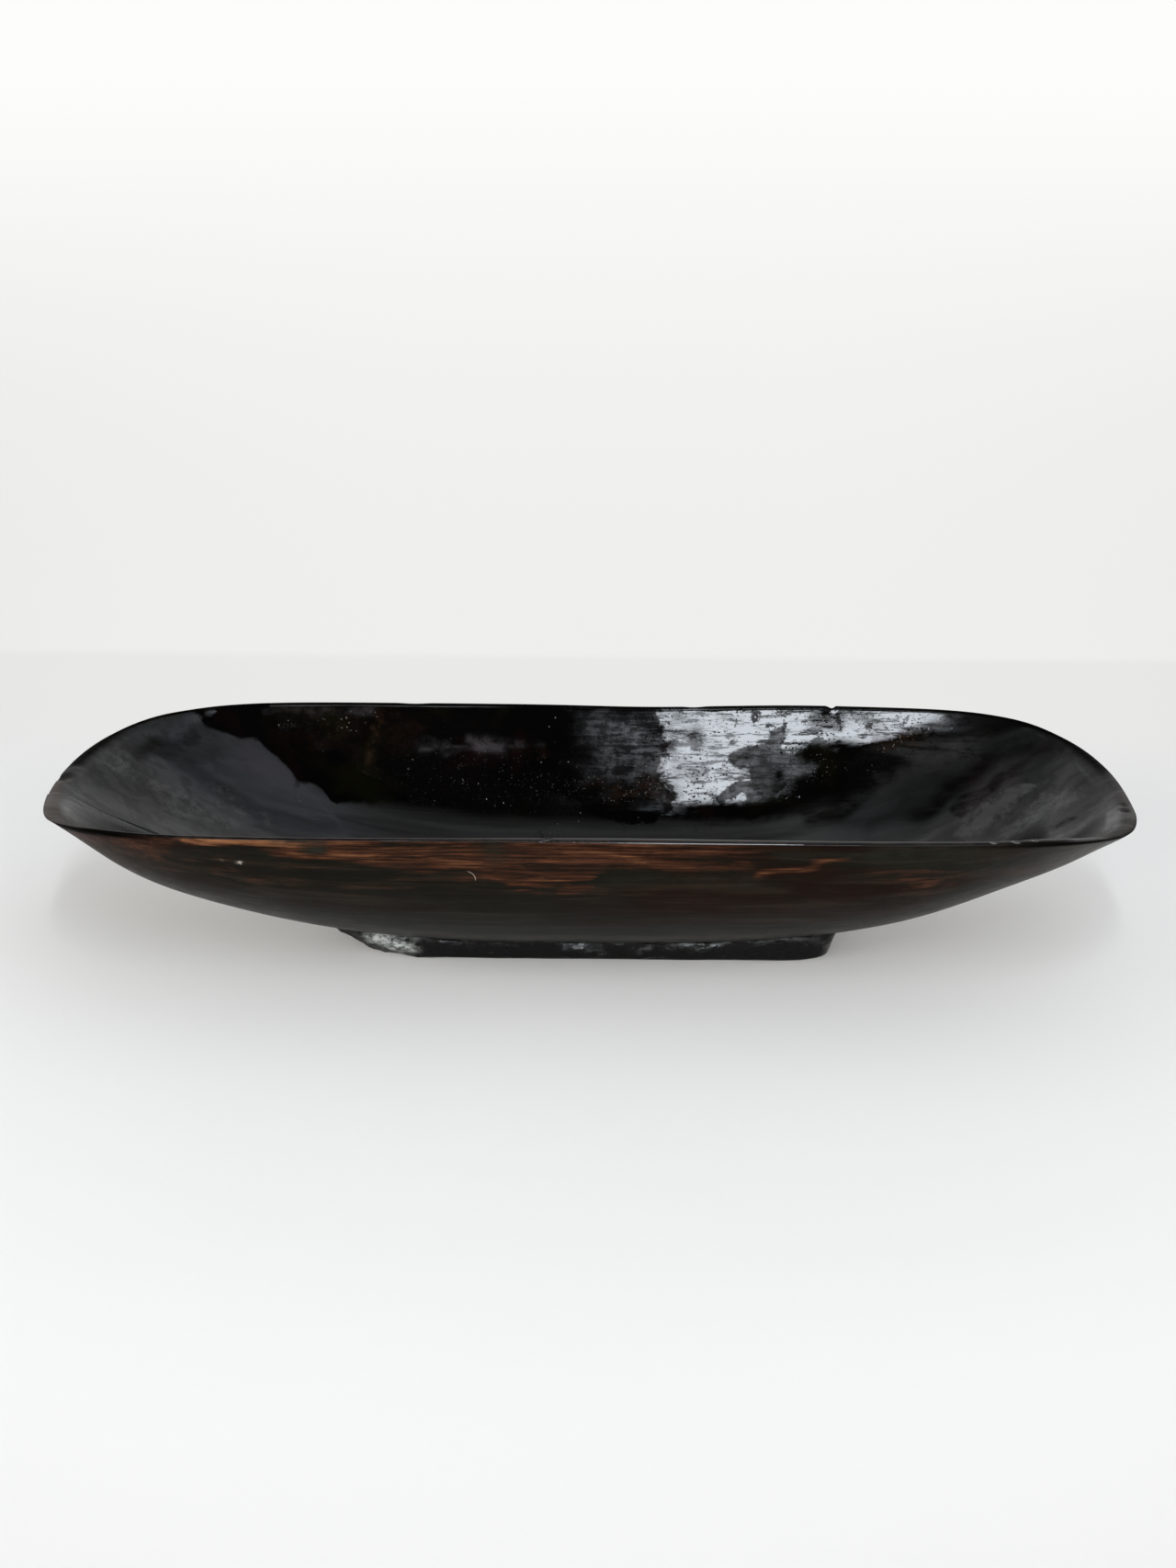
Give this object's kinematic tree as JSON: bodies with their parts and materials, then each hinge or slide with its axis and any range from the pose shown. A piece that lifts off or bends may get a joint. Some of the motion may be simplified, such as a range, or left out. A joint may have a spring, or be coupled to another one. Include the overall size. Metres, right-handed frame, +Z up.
{
  "type": "fruit bowl",
  "caption": "Long oval carved wooden bowl with straight sides, a rim that dips at its rounded ends and a low undercut foot block pegged to its belly, for fruit on a table.",
  "frame": {"origin": "on the floor under the middle of the bowl, in the plane of the foot's underside", "axes": "+X along the bowl, towards the end with the steeper end of the foot; +Y across it, away from a viewer at its front; +Z up"},
  "size_m": [0.7, 0.256, 0.1137],
  "materials": {
    "hull_wood": "dark brown to black lacquer over oiled hardwood, glossy inside and satin outside",
    "foot_wood": "thick glossy black coat over knife-cut facets",
    "peg_wood": "bare dark hardwood, end grain showing"
  },
  "bodies": {
    "root": {"bowl_hull": "hull_wood", "foot": "foot_wood", "foot_peg_front_left": "peg_wood", "foot_peg_front_right": "peg_wood", "foot_peg_back_left": "peg_wood", "foot_peg_back_right": "peg_wood"}
  },
  "joints": []
}
